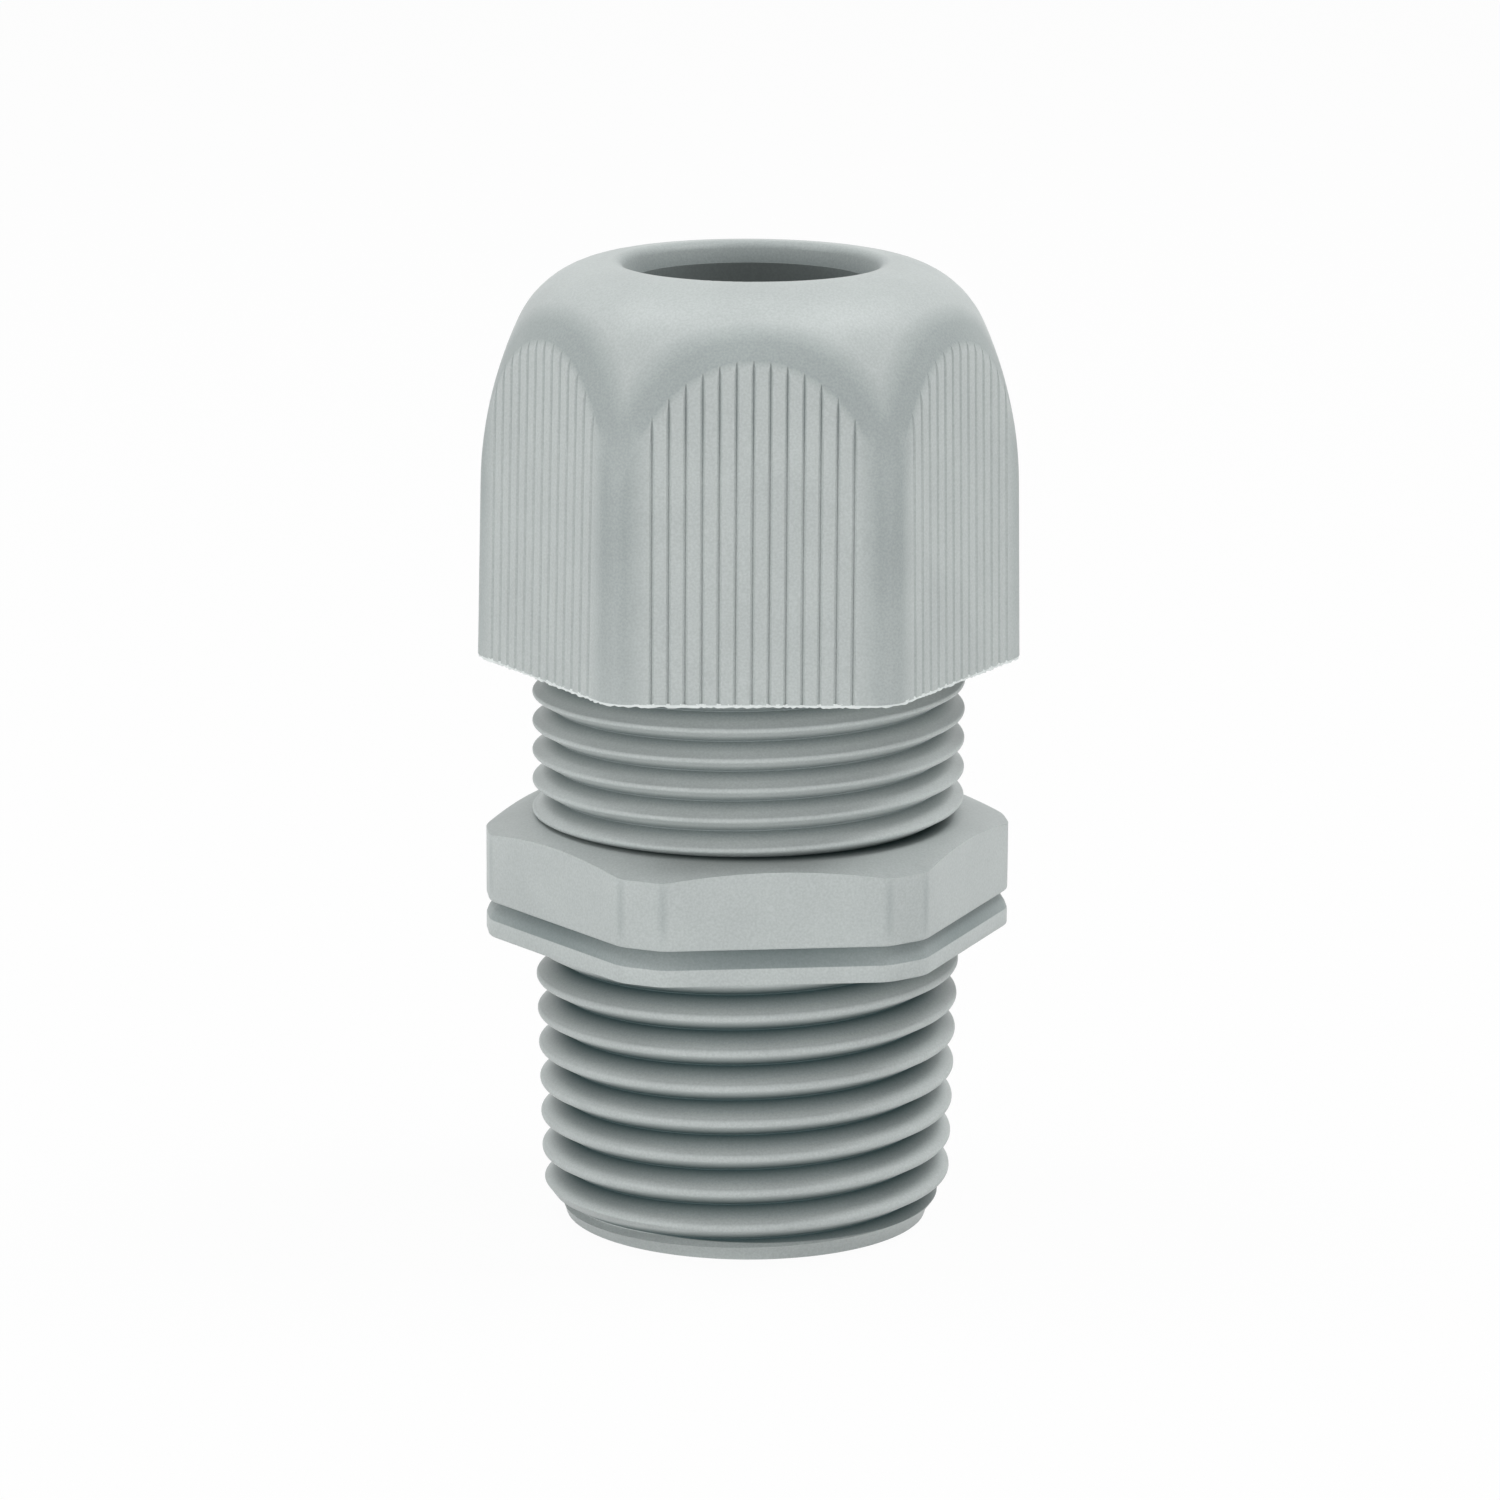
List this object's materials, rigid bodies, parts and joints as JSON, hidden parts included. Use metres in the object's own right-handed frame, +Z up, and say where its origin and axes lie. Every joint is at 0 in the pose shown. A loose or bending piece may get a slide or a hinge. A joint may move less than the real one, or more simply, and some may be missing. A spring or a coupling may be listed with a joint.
{
  "type": "strain relief cord connector",
  "caption": "Plastic cord connector with a tapered pipe thread, a wrench hexagon and a domed grip nut that squeezes a seal and fingers onto a cord.",
  "frame": {"origin": "centre of the threaded end face, on the connector's axis", "axes": "+Z up along the axis from the threaded end to the domed nut; the grip nut's front flat faces -Y"},
  "size_m": [0.0272, 0.0252, 0.0489],
  "materials": {
    "polyamide": "satin",
    "cage_polyamide": "satin",
    "elastomer": "matte"
  },
  "bodies": {
    "body": {"gland_body": "polyamide", "clamping_cage": "cage_polyamide"},
    "insert": {"sealing_insert": "elastomer"},
    "nut": {"dome_nut": "polyamide"}
  },
  "joints": [
    {"name": "nut_travel", "type": "slide", "parent": "body", "child": "insert", "axis": [0, 0, 1], "range_m": [-0.006, 0.003], "deforming": ["clamping_cage"]},
    {"name": "nut_turn", "type": "hinge", "parent": "insert", "child": "nut", "pos_m": [0, 0, 0.04], "axis": [0, 0, 1], "range_deg": [-1440, 720]}
  ],
  "couplings": [
    {"joint": "nut_travel", "follows": "nut_turn", "m_per_rad": 0.00023873}
  ]
}
